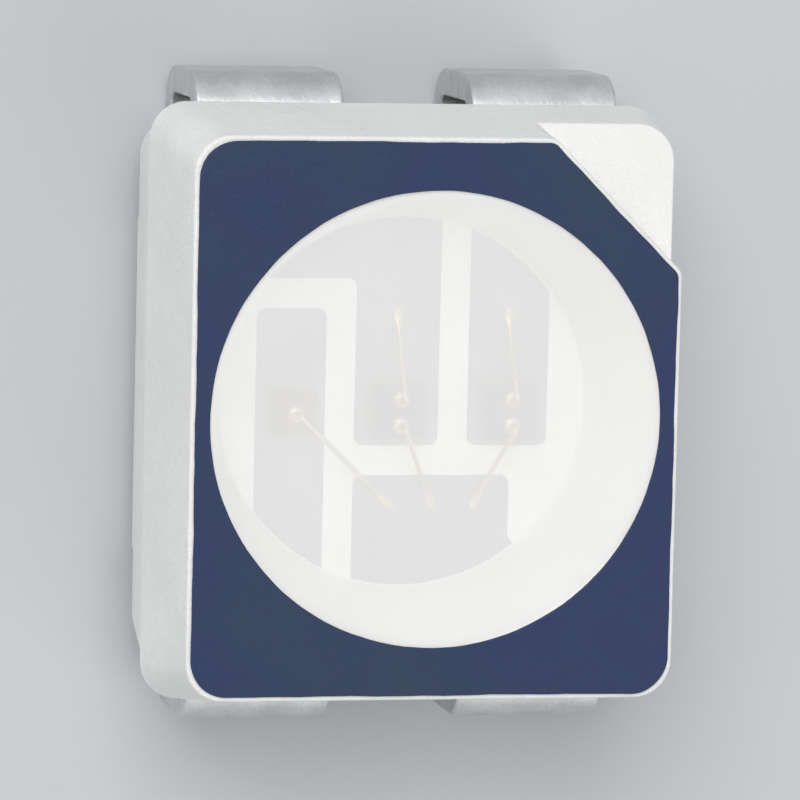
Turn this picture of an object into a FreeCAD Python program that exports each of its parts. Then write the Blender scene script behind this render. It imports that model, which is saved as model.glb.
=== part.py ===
import FreeCAD, Part
import math
import os

# Surface-mount LED with three colours in one round window.
# Millimetres, +Z out of the window, +Y along the leads, origin on the board below the middle.

# Housing, white moulding in two halves that meet at the top of the leadframe
body_width = 2.8
body_length = 3.2
overall_height = 1.9
base_clearance = 0.06
upper_inset_x = 0.1
upper_inset_y = 0.125
lower_inset_x = 0.1
lower_inset_y = 0.05
corner_radius = 0.2
rim_bevel = 0.02

# Round window, a tapered cup filled with resin
rim_width = 0.1
cup_taper = 0.2
resin_sag = 0.035

# Corner notch that marks the polarity
notch_wall = 0.3
notch_depth = 0.42
notch_draft = 0.03

# Dark print on the top face
print_thickness = 0.02
print_corner_radius = 0.32

# Leads, cut and folded from one sheet
lead_thickness = 0.15
leadframe_height = 0.85
lead_width = 0.8
lead_side_margin = 0.25
lead_projection = 0.15
lead_bend_radius = 0.1
lead_foot_length = 0.8
lead_edge_bevel = 0.02
lead_anchor = 0.3
lock_depth = 0.07
lock_length = 0.12

# Underside of the housing
foot_clearance = 0.04
gate_recess_radius = 0.35
gate_recess_depth = 0.04
gate_stub_radius = 0.12
gate_stub_height = 0.025

# Pads inside the cup, as places on the leadframe seen from above
pad_gap = 0.16
pad_corner_round = 0.05
middle_pad_left = -0.26
middle_pad_right = 0.2
side_pad_outer = 0.8
upper_pads_end = -0.24
left_pad_end = 0.5
common_pad_right = 0.6
shoulder = 0.75
neck_gap = 0.12

# Dies and what they stand on
die_row = -0.05
red_die_side = 0.23
red_die_height = 0.17
blue_die_side = 0.27
blue_die_height = 0.11
mesa_step = 0.012
mesa_inset = 0.012
glue_thickness = 0.012
glue_climb = 0.035
glue_spread = 0.04
bond_pad_radius = 0.045
bond_pad_thickness = 0.01
bond_pad_offset = 0.07

# Gold bond wires, with this many flats around a wire, a ball and a bond pad
round_sides = 6
wire_radius = 0.0125
ball_radius = 0.034
ball_bulge = 1.2
ball_height = 0.022
neck_height = 0.016
loop_rise = 0.13
loop_bend = 0.05
landing_run = 0.12
landing_rise = 0.035
landing_bend = 0.1
stitch_length = 0.075
stitch_width = 0.05
stitch_thickness = 0.01
common_stitch_drop = 0.15
common_stitch_step = 0.24
own_stitch_drop = 0.45

# Levels and places that follow from the sizes above
floor_z = leadframe_height + lead_thickness
top_z = overall_height - print_thickness
half_overall = body_length / 2 + lead_projection
exit_y = half_overall - lead_thickness - lead_bend_radius
lead_x = body_width / 2 - lead_side_margin - lead_width / 2
neck_start = exit_y - lead_anchor
plate_end = neck_start - neck_gap
top_width = body_width - 2 * upper_inset_x
top_length = body_length - 2 * upper_inset_y
bevel_z = top_z - rim_bevel
ledge_z = overall_height - notch_depth
mouth_radius = min(top_width, top_length) / 2 - rim_width
floor_radius = mouth_radius - cup_taper

# A corner's arc takes at most this share of the shorter run beside it
longest_setback = 0.45


def point(x, y, z):
    return FreeCAD.Vector(x, y, z)


def rounded_edges(points, radius, closed):
    """Straight runs through the points with a tangent arc at each corner."""
    count = len(points)
    corners = range(count) if closed else range(1, count - 1)
    starts = list(points)
    ends = list(points)
    arcs = {}
    for i in corners:
        before = points[i - 1] - points[i]
        after = points[(i + 1) % count] - points[i]
        half_angle = before.getAngle(after) / 2
        setback = min(radius / math.tan(half_angle), longest_setback * min(before.Length, after.Length))
        bend = setback * math.tan(half_angle)
        before.normalize()
        after.normalize()
        inward = before + after
        inward.normalize()
        ends[i] = points[i] + before * setback
        starts[i] = points[i] + after * setback
        middle = points[i] + inward * (bend / math.sin(half_angle) - bend)
        arcs[i] = Part.Arc(ends[i], middle, starts[i]).toShape()
    edges = []
    for i in range(count if closed else count - 1):
        following = (i + 1) % count
        if i in arcs:
            edges.append(arcs[i])
        edges.append(Part.LineSegment(starts[i], ends[following]).toShape())
    return edges


def rounded_outline(points, radius):
    return Part.Wire(rounded_edges(points, radius, True))


def rectangle(width, length, z, radius):
    """Rounded rectangle around the Z axis."""
    x = width / 2
    y = length / 2
    corners = [point(-x, -y, z), point(x, -y, z), point(x, y, z), point(-x, y, z)]
    return rounded_outline(corners, radius)


def prism(points, height, radius):
    """Solid of an outline with rounded corners, drawn up by its height."""
    face = Part.Face(rounded_outline(points, radius))
    return face.extrude(point(0, 0, height))


def block(x_low, x_high, y_low, y_high, z_low, z_high):
    corner = point(x_low, y_low, z_low)
    return Part.makeBox(x_high - x_low, y_high - y_low, z_high - z_low, corner)


def cup_profile(rim_z, sag):
    """Half section of the cup up to its rim, with a surface that sags in the middle."""
    foot = Part.LineSegment(point(0, 0, floor_z), point(floor_radius, 0, floor_z))
    wall = Part.LineSegment(point(floor_radius, 0, floor_z), point(mouth_radius, 0, rim_z))
    sphere = (mouth_radius ** 2 + sag ** 2) / (2 * sag)
    half = mouth_radius / 2
    half_z = rim_z - sag + sphere - math.sqrt(sphere ** 2 - half ** 2)
    low = point(0, 0, rim_z - sag)
    surface = Part.Arc(point(mouth_radius, 0, rim_z), point(half, 0, half_z), low)
    axis = Part.LineSegment(low, point(0, 0, floor_z))
    return Part.Wire([foot.toShape(), wall.toShape(), surface.toShape(), axis.toShape()])


def cup_space():
    """Space of the cup, carried on above the top face."""
    cone = Part.makeCone(floor_radius, mouth_radius, top_z - floor_z, point(0, 0, floor_z))
    mouth = Part.makeCylinder(mouth_radius, overall_height, point(0, 0, top_z))
    return cone.fuse(mouth)


def notch_corner(z, grow):
    """Triangle outside the notch's slanting face at one level."""
    reach = math.sqrt(2) * (mouth_radius + notch_wall - grow)
    far = body_width + body_length
    corners = [point(reach - far, far, z), point(far, reach - far, z), point(far, far, z)]
    return Part.makePolygon(corners + corners[:1])


def notch_space():
    """Space cut away over the corner ledge, wider at the top and at the rim bevel."""
    slope = notch_draft / notch_depth
    at_bevel = slope * (bevel_z - ledge_z)
    at_top = slope * (top_z - ledge_z) + rim_bevel
    levels = [notch_corner(ledge_z, 0), notch_corner(bevel_z, at_bevel),
              notch_corner(top_z, at_top), notch_corner(top_z + notch_depth, at_top)]
    return Part.makeLoft(levels, True, True)


def foot_pocket(side, end):
    """Step under one corner of the housing, which clears the folded foot."""
    inner = lead_x - lead_width / 2 - foot_clearance
    tip = half_overall - lead_foot_length - foot_clearance
    x = sorted((side * inner, side * body_width))
    y = sorted((end * tip, end * half_overall))
    return block(x[0], x[1], y[0], y[1], 0, lead_thickness + foot_clearance)


def gate_mark():
    """Shallow round recess in the underside, with the stub of the gate standing in it."""
    recess = Part.makeCylinder(gate_recess_radius, gate_recess_depth, point(0, 0, base_clearance))
    stub = Part.makeCylinder(gate_stub_radius, gate_stub_height,
                             point(0, 0, base_clearance + gate_recess_depth - gate_stub_height))
    return recess.cut(stub)


def top_face(radius):
    """Outline of the flat top inside its bevel, with corners of one radius."""
    return rectangle(top_width - 2 * rim_bevel, top_length - 2 * rim_bevel, top_z, radius)


def upper_half():
    """Upper part of the moulding: drafted sides that end in a small bevel around the top."""
    rise = (bevel_z - floor_z) / (top_z - floor_z)
    shoulder_line = rectangle(body_width - 2 * upper_inset_x * rise, body_length - 2 * upper_inset_y * rise,
                              bevel_z, corner_radius)
    parting_line = rectangle(body_width, body_length, floor_z, corner_radius)
    return Part.makeLoft([parting_line, shoulder_line, top_face(corner_radius - rim_bevel)], True, True)


def housing(leads):
    """White moulding: two drafted halves, the cup, the notch and the pockets for the feet."""
    lower_length = 2 * exit_y
    lower = Part.makeLoft([rectangle(body_width - 2 * lower_inset_x, lower_length - 2 * lower_inset_y,
                                     base_clearance, corner_radius),
                           rectangle(body_width, lower_length, floor_z, corner_radius)], True, True)
    pockets = [foot_pocket(side, end) for side in (-1, 1) for end in (-1, 1)]
    moulding = upper_half().cut(notch_space()).fuse(lower)
    return moulding.cut([cup_space(), gate_mark()] + pockets + leads)


def face_print():
    """Thin dark print on the flat top around the window, which leaves its corners bare."""
    sheet = Part.Face(top_face(print_corner_radius)).extrude(point(0, 0, print_thickness))
    window = Part.makeCylinder(mouth_radius, overall_height, point(0, 0, floor_z))
    return sheet.cut([window, notch_space()])


def resin():
    """Milky casting resin that fills the cup."""
    section = Part.Face(cup_profile(top_z, resin_sag))
    return section.revolve(point(0, 0, 0), point(0, 0, 1), 360)


def fold_section():
    """Side view of one lead from the plastic to the tip of its foot, on the +Y end."""
    inner = lead_bend_radius
    outer = lead_bend_radius + lead_thickness
    wall = half_overall
    tip = half_overall - lead_foot_length
    slant = math.sqrt(0.5)
    high = point(0, wall - outer, floor_z - outer)
    low = point(0, wall - outer, outer)

    def spot(centre, radius, y, z):
        return centre + point(0, radius * y, radius * z)

    edges = [
        Part.LineSegment(point(0, neck_start, floor_z), spot(high, outer, 0, 1)),
        Part.Arc(spot(high, outer, 0, 1), spot(high, outer, slant, slant), spot(high, outer, 1, 0)),
        Part.LineSegment(spot(high, outer, 1, 0), spot(low, outer, 1, 0)),
        Part.Arc(spot(low, outer, 1, 0), spot(low, outer, slant, -slant), spot(low, outer, 0, -1)),
        Part.LineSegment(spot(low, outer, 0, -1), point(0, tip, 0)),
        Part.LineSegment(point(0, tip, 0), point(0, tip, lead_thickness)),
        Part.LineSegment(point(0, tip, lead_thickness), spot(low, inner, 0, -1)),
        Part.Arc(spot(low, inner, 0, -1), spot(low, inner, slant, -slant), spot(low, inner, 1, 0)),
        Part.LineSegment(spot(low, inner, 1, 0), spot(high, inner, 1, 0)),
        Part.Arc(spot(high, inner, 1, 0), spot(high, inner, slant, slant), spot(high, inner, 0, 1)),
        Part.LineSegment(spot(high, inner, 0, 1), point(0, neck_start, leadframe_height)),
        Part.LineSegment(point(0, neck_start, leadframe_height), point(0, neck_start, floor_z)),
    ]
    return Part.Wire([edge.toShape() for edge in edges])


def folded_lead(side, end):
    """Strip of one lead outside the cup, folded down the end face and under the housing."""
    strip = Part.Face(fold_section()).extrude(point(lead_width, 0, 0))
    strip.translate(point(-lead_width / 2, 0, 0))
    sides = [e for e in strip.Edges if e.BoundBox.XLength < 1e-6 and e.BoundBox.YMax > neck_start + 1e-6]
    strip = strip.makeChamfer(lead_edge_bevel, sides)
    lock_y = exit_y - lead_anchor / 2
    for x in (-lead_width / 2, lead_width / 2):
        strip = strip.cut(block(x - lock_depth, x + lock_depth, lock_y - lock_length / 2,
                                lock_y + lock_length / 2, leadframe_height, floor_z))
    if end < 0:
        strip.rotate(point(0, 0, 0), point(0, 0, 1), 180)
    strip.translate(point(side * lead_x, 0, 0))
    return strip


def lead(side, end, corners):
    """One lead: its pad in the cup, cut to an outline, and its folded strip."""
    outline = [point(x, y, leadframe_height) for x, y in corners]
    plate = prism(outline, lead_thickness, pad_corner_round)
    return plate.fuse(folded_lead(side, end)).removeSplitter()


def leads():
    """The four leads. Each name says which die the pad carries."""
    neck_inner = lead_x - lead_width / 2
    neck_outer = lead_x + lead_width / 2
    neck_end = neck_start + lead_anchor / 4
    left = middle_pad_left - pad_gap
    right = middle_pad_right + pad_gap
    common_top = upper_pads_end - pad_gap
    arm = left_pad_end + pad_gap
    green = [(-neck_outer, arm), (middle_pad_left, arm), (middle_pad_left, upper_pads_end),
             (middle_pad_right, upper_pads_end), (middle_pad_right, plate_end), (-neck_inner, plate_end),
             (-neck_inner, neck_end), (-neck_outer, neck_end)]
    blue = [(right, upper_pads_end), (side_pad_outer, upper_pads_end), (side_pad_outer, shoulder),
            (neck_outer, plate_end), (neck_outer, neck_end), (right, neck_end)]
    red = [(left, left_pad_end), (-side_pad_outer, left_pad_end), (-side_pad_outer, -shoulder),
           (-neck_outer, -plate_end), (-neck_outer, -neck_end), (left, -neck_end)]
    common = [(middle_pad_left, common_top), (middle_pad_left, -plate_end), (neck_inner, -plate_end),
              (neck_inner, -neck_end), (neck_outer, -neck_end), (neck_outer, -plate_end),
              (common_pad_right, -shoulder), (common_pad_right, common_top)]
    return {
        "lead_green_cathode": lead(-1, 1, green),
        "lead_blue_cathode": lead(1, 1, blue),
        "lead_red_cathode": lead(-1, -1, red),
        "lead_common_anode": lead(1, -1, common),
    }


def die(x, side, height):
    """Sawn die with a mesa, a little smaller, on top."""
    z = floor_z + glue_thickness
    step_z = z + height - mesa_step
    half = side / 2
    top = half - mesa_inset
    base = block(x - half, x + half, die_row - half, die_row + half, z, step_z)
    mesa = block(x - top, x + top, die_row - top, die_row + top, step_z, z + height)
    return base.fuse(mesa)


def glue(x, side, body):
    """Die attach: a thin bed with a fillet that climbs the foot of the die."""
    wide = rectangle(side + 2 * glue_spread, side + 2 * glue_spread, floor_z, 2 * glue_spread)
    narrow = rectangle(side + glue_spread / 2, side + glue_spread / 2, floor_z + glue_climb, glue_spread)
    bed = Part.makeLoft([wide, narrow], True, True)
    bed.translate(point(x, die_row, 0))
    return bed.cut(body)


def many_sided(radius, x, y, z):
    """Regular outline of a small round piece."""
    turn = 2 * math.pi / round_sides
    corners = [point(x + radius * math.cos(turn * (i + 0.5)), y + radius * math.sin(turn * (i + 0.5)), z)
               for i in range(round_sides)]
    return Part.makePolygon(corners + corners[:1])


def bond_pad(x, y, z):
    return Part.Face(many_sided(bond_pad_radius, x, y, z)).extrude(point(0, 0, bond_pad_thickness))


def ball(z):
    """Squashed ball of a bond, fattest at half its height, with the cone that leads up to the wire."""
    bulge = ball_radius * ball_bulge
    levels = [(ball_radius, 0), (bulge, ball_height / 2), (ball_radius, ball_height),
              (wire_radius, ball_height + neck_height)]
    return Part.makeLoft([many_sided(radius, 0, 0, z + rise) for radius, rise in levels], True, True)


def stitch(x):
    """Flattened tail of a wire, pressed on the leadframe."""
    half = stitch_length / 2
    side = stitch_width / 2
    corners = [point(x - half, -side / 2, floor_z), point(x, -side, floor_z), point(x + half, -side / 2, floor_z),
               point(x + half, side / 2, floor_z), point(x, side, floor_z), point(x - half, side / 2, floor_z)]
    return Part.Face(Part.makePolygon(corners + corners[:1])).extrude(point(0, 0, stitch_thickness))


def bond_wire(x, y, z, stitch_x, stitch_y):
    """Wire from a ball on the die to a stitch on the leadframe, drawn along +X and turned to its place."""
    run = math.hypot(stitch_x - x, stitch_y - y)
    slope = landing_rise / (landing_run - stitch_length / 2)
    route = [point(0, 0, z), point(0, 0, z + loop_rise), point(run - landing_run, 0, floor_z + landing_rise),
             point(run, 0, floor_z + landing_rise - slope * landing_run)]
    high = rounded_edges(route[:3], loop_bend, False)
    low = rounded_edges(route[1:], landing_bend, False)
    middle = Part.LineSegment(high[-1].Vertexes[0].Point, low[0].Vertexes[1].Point).toShape()
    path = Part.Wire(high[:-1] + [middle] + low[1:])
    strand = path.makePipeShell([many_sided(wire_radius, 0, 0, z)], True, True)
    below = block(-run, 2 * run, -run, run, floor_z - landing_run, floor_z)
    wire = strand.fuse([ball(z), stitch(run)]).cut(below).removeSplitter()
    angle = math.degrees(math.atan2(stitch_y - y, stitch_x - x))
    wire.rotate(point(0, 0, 0), point(0, 0, 1), angle)
    wire.translate(point(x, y, 0))
    return wire


def two_wire_die(colour, x, common_x, common_y):
    """Die with both contacts on top: one wire to the common pad, one to its own pad."""
    body = die(x, blue_die_side, blue_die_height)
    z = floor_z + glue_thickness + blue_die_height
    anode_y = die_row - bond_pad_offset
    cathode_y = die_row + bond_pad_offset
    wire_z = z + bond_pad_thickness
    return {
        "die_" + colour: body,
        "die_glue_" + colour: glue(x, blue_die_side, body),
        "bond_pad_" + colour + "_anode": bond_pad(x, anode_y, z),
        "bond_pad_" + colour + "_cathode": bond_pad(x, cathode_y, z),
        "bond_wire_" + colour + "_anode": bond_wire(x, anode_y, wire_z, common_x, common_y),
        "bond_wire_" + colour + "_cathode": bond_wire(x, cathode_y, wire_z, x, cathode_y + own_stitch_drop),
    }


def one_wire_die(colour, x, common_x, common_y):
    """Die whose foot is its cathode, with one wire to the common pad."""
    body = die(x, red_die_side, red_die_height)
    z = floor_z + glue_thickness + red_die_height
    return {
        "die_" + colour: body,
        "die_glue_" + colour: glue(x, red_die_side, body),
        "bond_pad_" + colour + "_anode": bond_pad(x, die_row, z),
        "bond_wire_" + colour + "_anode": bond_wire(x, die_row, z + bond_pad_thickness, common_x, common_y),
    }


def chips():
    """The three dies in a row, each in the middle of its own pad."""
    red_x = (middle_pad_left - pad_gap - side_pad_outer) / 2
    green_x = (middle_pad_left + middle_pad_right) / 2
    blue_x = (middle_pad_right + pad_gap + side_pad_outer) / 2
    stitch_y = upper_pads_end - pad_gap - common_stitch_drop
    stitch_x = (middle_pad_left + common_pad_right) / 2
    solids = one_wire_die("red", red_x, stitch_x - common_stitch_step, stitch_y)
    solids.update(two_wire_die("green", green_x, stitch_x, stitch_y))
    solids.update(two_wire_die("blue", blue_x, stitch_x + common_stitch_step, stitch_y))
    return solids


def build():
    metal = leads()
    solids = chips()
    parts = {"housing": housing(list(metal.values())), "face_print": face_print()}
    parts.update(metal)
    parts.update(solids)
    parts["window_resin"] = resin().cut(list(solids.values()))
    return parts


def write(parts):
    os.makedirs("parts", exist_ok=True)
    for name, shape in parts.items():
        shape.exportStep(os.path.join("parts", name + ".step"))


write(build())
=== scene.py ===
import math
from types import SimpleNamespace

import bmesh
import bpy
from mathutils import Matrix, Vector


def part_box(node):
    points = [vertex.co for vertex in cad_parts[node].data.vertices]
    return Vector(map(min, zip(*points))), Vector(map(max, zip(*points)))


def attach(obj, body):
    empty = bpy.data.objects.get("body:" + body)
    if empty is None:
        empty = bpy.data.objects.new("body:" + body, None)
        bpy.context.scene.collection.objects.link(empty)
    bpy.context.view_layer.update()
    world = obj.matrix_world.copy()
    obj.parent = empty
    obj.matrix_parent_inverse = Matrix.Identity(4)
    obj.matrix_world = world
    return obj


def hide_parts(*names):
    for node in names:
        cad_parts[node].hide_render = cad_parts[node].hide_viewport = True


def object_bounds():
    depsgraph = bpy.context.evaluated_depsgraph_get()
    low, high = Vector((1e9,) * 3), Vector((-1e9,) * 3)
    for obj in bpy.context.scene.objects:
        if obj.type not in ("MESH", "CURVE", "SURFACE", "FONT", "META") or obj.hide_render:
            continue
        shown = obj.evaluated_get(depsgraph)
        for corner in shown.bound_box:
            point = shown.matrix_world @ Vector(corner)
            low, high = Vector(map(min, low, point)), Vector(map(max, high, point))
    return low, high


bl_info = {
    "name": "Surface-mount LED",
    "version": (1, 0, 0),
    "blender": (4, 5, 0),
    "location": "3D View > Sidebar > LED",
    "description": "Moulding, print, resin, leads, dies and bond wires of a three-colour surface-mount LED",
    "category": "Object",
}

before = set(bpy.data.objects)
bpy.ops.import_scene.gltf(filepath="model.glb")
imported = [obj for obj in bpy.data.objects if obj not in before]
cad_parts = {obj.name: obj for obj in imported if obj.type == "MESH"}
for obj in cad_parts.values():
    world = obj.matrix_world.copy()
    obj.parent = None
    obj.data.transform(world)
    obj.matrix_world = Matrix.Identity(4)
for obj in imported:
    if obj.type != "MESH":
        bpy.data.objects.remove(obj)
CAD_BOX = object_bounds()

MM = 0.001
BODY = "root"

# The dies in their row, each with its own finish and its glue's
DIES = {
    "red": ("red_crystal", "silver_epoxy"),
    "green": ("sapphire", "clear_epoxy"),
    "blue": ("sapphire", "clear_epoxy"),
}

# Limits of the mesh tools, which build in millimetres
ON_AXIS = 1e-6
SLIVER = 2e-5
LEAST_CORNER = 0.004
LEAST_FACING = 0.1
SHARP = math.radians(38)

# How finely the round shapes are divided
ROUND_STEPS = 4
BEND_STEPS = 14
FILLET_STEPS = 7
LOOP_STEPS = 8
WINDOW_RINGS = 22
WINDOW_TURNS = 160
CONTACT_SIDES = 40
WIRE_SIDES = 16
CORNER_SPREAD = math.radians(8)
FINE_TURN = math.radians(0.7)
COARSE_TURN = math.radians(2.4)
NOTCH_SIDE = math.radians(45)
NOTCH_TURNS = [math.radians(degrees) for degrees in range(28, 74, 6)]

# Shares of a whole
SIDE_SHARE = 0.48  # of a side, which one rounded corner may take up
LIP_SHARE = 0.35  # of the resin's sag, by which it climbs at the rim
FILLET_SHARE = 0.98  # of a glue's width, which its fillet takes up
CONTACT_SHARE = 0.4  # of a contact's height, which its soft edge takes up
BALL_TOP_SHARE = 0.86  # of a ball's radius, which is left at its top
TAIL_RUN_SHARE = 0.7  # of a tail's length, over which it flattens
TAIL_END_SHARE = 0.6  # of a tail's width, which is left at its cut end

# How far from its corners a wire starts to bend: over the ball, at the knee and at the landing
WIRE_BENDS = (0.06, 0.11, 0.03)


def node_box(name):
    """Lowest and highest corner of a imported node, in millimetres."""
    low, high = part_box(name)
    return low / MM, high / MM


def node_middle(name):
    """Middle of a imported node, seen from above, in millimetres."""
    low, high = node_box(name)
    return (low.x + high.x) / 2, (low.y + high.y) / 2


HOUSING_LOW, HOUSING_HIGH = node_box("housing")
PRINT_HIGH = node_box("face_print")[1]
RESIN_LOW, RESIN_HIGH = node_box("window_resin")
GREEN_LEAD_LOW, GREEN_LEAD_HIGH = node_box("lead_green_cathode")
RED_LEAD_HIGH = node_box("lead_red_cathode")[1]
COMMON_LEAD_LOW = node_box("lead_common_anode")[0]


# Sizes and colours that a user may change

def number(name, description, value, **kind):
    return bpy.props.FloatProperty(name=name, description=description, default=value, **kind)


def metric(name, description, millimetres):
    """A length, written in millimetres here and kept in metres."""
    return number(name, description, millimetres * MM, precision=6, unit="LENGTH")


def lean(name, description, degrees):
    """An angle, written in degrees here and kept in radians."""
    return number(name, description, math.radians(degrees), subtype="ANGLE")


def tint(name, description, red, green, blue):
    return bpy.props.FloatVectorProperty(name=name, description=description, default=(red, green, blue),
                                         size=3, min=0.0, max=1.0, subtype="COLOR")


class HousingSizes(bpy.types.PropertyGroup):
    width: metric("Width", "Width at the parting line", HOUSING_HIGH.x - HOUSING_LOW.x)
    length: metric("Length", "Length of the upper half at the parting line", HOUSING_HIGH.y - HOUSING_LOW.y)
    lower_length: metric("Lower length", "Length of the lower half at the parting line", 3.0)
    base: metric("Base", "Height of the underside over the board", HOUSING_LOW.z)
    parting: metric("Parting line", "Height at which the two halves meet", RESIN_LOW.z)
    top: metric("Top", "Height of the moulded top", HOUSING_HIGH.z)
    upper_inset_x: metric("Upper draft X", "How far the upper half draws in on each long side", 0.1)
    upper_inset_y: metric("Upper draft Y", "How far the upper half draws in at each end", 0.125)
    lower_inset_x: metric("Lower draft X", "How far the lower half draws in on each long side", 0.1)
    lower_inset_y: metric("Lower draft Y", "How far the lower half draws in at each end", 0.05)
    corner: metric("Corner radius", "Radius of the upright corners", 0.2)
    edge: metric("Edge radius", "Radius of the moulded edges", 0.014)
    rim: metric("Rim radius", "Radius round the top face", 0.02)
    notch_offset: metric("Notch offset", "Distance from the middle to the notch at the ledge", 1.5)
    notch_draft: metric("Notch draft", "How far the notch leans in from the ledge to the top", 0.0286)
    notch_edge: metric("Notch edge", "How softly the notch runs into the sides", 0.02)
    ledge: metric("Ledge", "Height of the ledge in the notch", 1.48)
    gate_radius: metric("Gate recess radius", "Radius of the recess round the gate", 0.35)
    gate_depth: metric("Gate recess depth", "Depth of the recess round the gate", 0.04)
    stub_radius: metric("Gate stub radius", "Radius of the broken gate", 0.12)
    stub_height: metric("Gate stub height", "Height of the broken gate", 0.025)
    foot_step_x: metric("Foot step X", "Where the step over a foot starts, across", 0.31)
    foot_step_y: metric("Foot step Y", "Where the step over a foot starts, along", 0.91)
    foot_step_z: metric("Foot step height", "Height of the step over a foot", 0.19)
    clearance: metric("Clearance", "How far the room for a pad stands over its top", 0.002)


class WindowSizes(bpy.types.PropertyGroup):
    mouth: metric("Mouth radius", "Radius of the window", RESIN_HIGH.x)
    floor: metric("Floor radius", "Radius of the cup at the leads", 1.0)
    sag: metric("Sag", "How far the resin's surface sags in the middle", 0.035)
    creep: metric("Creep", "Width of the lip of resin that climbs the rim", 0.05)
    seat: metric("Seat", "How far the resin reaches into the face of the cup", 0.004)
    print_half_x: metric("Print half width", "Half the width of the print", PRINT_HIGH.x)
    print_half_y: metric("Print half length", "Half the length of the print", PRINT_HIGH.y)
    print_top: metric("Print top", "Height of the print", PRINT_HIGH.z)
    print_corner: metric("Print corner", "Radius of the print's corners", 0.2)
    print_edge: metric("Print edge", "Radius of the print's edge", 0.007)
    print_waver: metric("Print waver", "How far the edge of the ink wanders", 0.004)


class LeadSizes(bpy.types.PropertyGroup):
    thickness: metric("Thickness", "Thickness of the leadframe", 0.15)
    width: metric("Width", "Width of a folded lead", 0.8)
    place: metric("Place", "Distance of a folded lead from the middle", 0.75)
    bend: metric("Bend", "Inner radius of a fold", 0.1)
    reach: metric("Reach", "Distance from the middle to a lead's outer face", GREEN_LEAD_HIGH.y)
    foot: metric("Foot", "Length of a foot", 0.8)
    anchor: metric("Anchor", "Length of a strip inside the plastic", 0.3)
    lock_depth: metric("Lock depth", "Depth of a locking notch", 0.07)
    lock_length: metric("Lock length", "Length of a locking notch", 0.12)
    edge: metric("Edge radius", "Radius along a folded lead", 0.02)
    pad_edge: metric("Pad edge", "Radius round the top of a pad", 0.008)
    pad_corner: metric("Pad corner", "Radius of a pad's corners", 0.05)
    gap: metric("Gap", "Gap between two pads", 0.16)
    middle_left: metric("Middle pad left", "Left side of the middle pad", COMMON_LEAD_LOW.x)
    middle_right: metric("Middle pad right", "Right side of the middle pad", GREEN_LEAD_HIGH.x)
    outer: metric("Side pads", "Outer side of the side pads", 0.8)
    upper_end: metric("Upper pads", "Lower end of the upper pads", GREEN_LEAD_LOW.y)
    left_end: metric("Left pad", "Upper end of the left pad", RED_LEAD_HIGH.y)
    common_right: metric("Common pad", "Right side of the common pad", 0.6)
    shoulder: metric("Shoulder", "Where a pad narrows to its strip", 0.75)
    plate_end: metric("Plate end", "Where the plate meets its strip", 1.08)


class ChipSizes(bpy.types.PropertyGroup):
    edge: metric("Edge radius", "Radius of a sawn edge", 0.003)
    mesa_step: metric("Mesa step", "Depth of the step round the top of a die", 0.012)
    mesa_inset: metric("Mesa inset", "Width of the step round the top of a die", 0.012)
    wire_radius: metric("Wire radius", "Radius of a bond wire", 0.0125)
    ball_radius: metric("Ball radius", "Radius of a bonded ball at its foot", 0.034)
    ball_bulge: metric("Ball bulge", "How far a ball bulges past its foot", 0.0068)
    ball_height: metric("Ball height", "Height of a bonded ball", 0.022)
    neck_height: metric("Neck height", "Height of the cone between ball and wire", 0.016)
    loop_rise: metric("Loop rise", "Height of a loop over its ball", 0.13)
    landing_run: metric("Landing run", "Length over which a wire comes down", 0.12)
    landing_rise: metric("Landing rise", "Height of a wire where its landing starts", 0.035)
    stitch_length: metric("Stitch length", "Length of a flattened tail", 0.075)
    stitch_width: metric("Stitch width", "Width of a flattened tail", 0.05)
    stitch_thickness: metric("Stitch thickness", "Thickness of a flattened tail", 0.01)
    common_row: metric("Common row", "Where the wires land on the common pad", -0.55)
    common_middle: metric("Common middle", "Middle of the row of landings", 0.17)
    common_step: metric("Common step", "Distance between two landings", 0.24)
    own_drop: metric("Own drop", "From a die's second contact to its own landing", 0.45)


class FinishColours(bpy.types.PropertyGroup):
    moulding: tint("Moulding", "White plastic", 0.865, 0.868, 0.855)
    ink: tint("Ink", "Dark print", 0.022, 0.042, 0.1)
    resin: tint("Resin", "Milky casting resin", 0.91, 0.91, 0.9)
    plating: tint("Plating", "Plated copper", 0.66, 0.665, 0.67)
    # Painted shade: a darker copy of the plating for the pads in the cup, so they show grey through the
    # resin; it also tints the stains and rolling lines.
    pad_shade_and_stain: tint("Pad plating", "Duller plating on the pads", 0.22, 0.23, 0.245)
    gold: tint("Gold", "Wires and contacts", 0.62, 0.44, 0.2)
    red_crystal: tint("Red crystal", "Red die", 0.06, 0.022, 0.02)
    sapphire: tint("Sapphire", "Green and blue dies", 0.03, 0.042, 0.06)
    silver_paste: tint("Silver paste", "Glue that carries current", 0.2, 0.2, 0.195)
    clear_glue: tint("Clear glue", "Glue under a sapphire", 0.12, 0.117, 0.105)


class StageSettings(bpy.types.PropertyGroup):
    floor: tint("Floor", "Colour of the floor", 0.55, 0.57, 0.59)
    backdrop: tint("Backdrop", "What is seen past the floor", 0.8, 0.81, 0.82)
    spread: metric("Floor spread", "Half the side of the floor", 60.0)
    drop: metric("Floor drop", "How far the floor lies under the feet", 0.002)
    tilt_side: lean("Tilt sideways", "How far the camera stands to the left", 12)
    tilt_up: lean("Tilt up", "How far the camera stands beyond the top edge", 6.5)
    field: metric("Field", "Width that the picture takes in", 4.3)
    lens: number("Lens", "Focal length", 250.0, unit="CAMERA")
    world: number("World light", "Light from all round", 0.4)
    key: number("Key light", "Share of the light from the key", 0.45)
    fill: number("Fill light", "Share of the light from the fill", 0.13)
    side: number("Side light", "Share of the light from low at the left", 0.011)


SETTINGS = {
    "led_housing": HousingSizes,
    "led_window": WindowSizes,
    "led_leads": LeadSizes,
    "led_chips": ChipSizes,
    "led_colours": FinishColours,
    "led_stage": StageSettings,
}


def sizes(group):
    """A group's lengths in millimetres, by name."""
    return SimpleNamespace(**{name: getattr(group, name) / MM for name in type(group).__annotations__})


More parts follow.
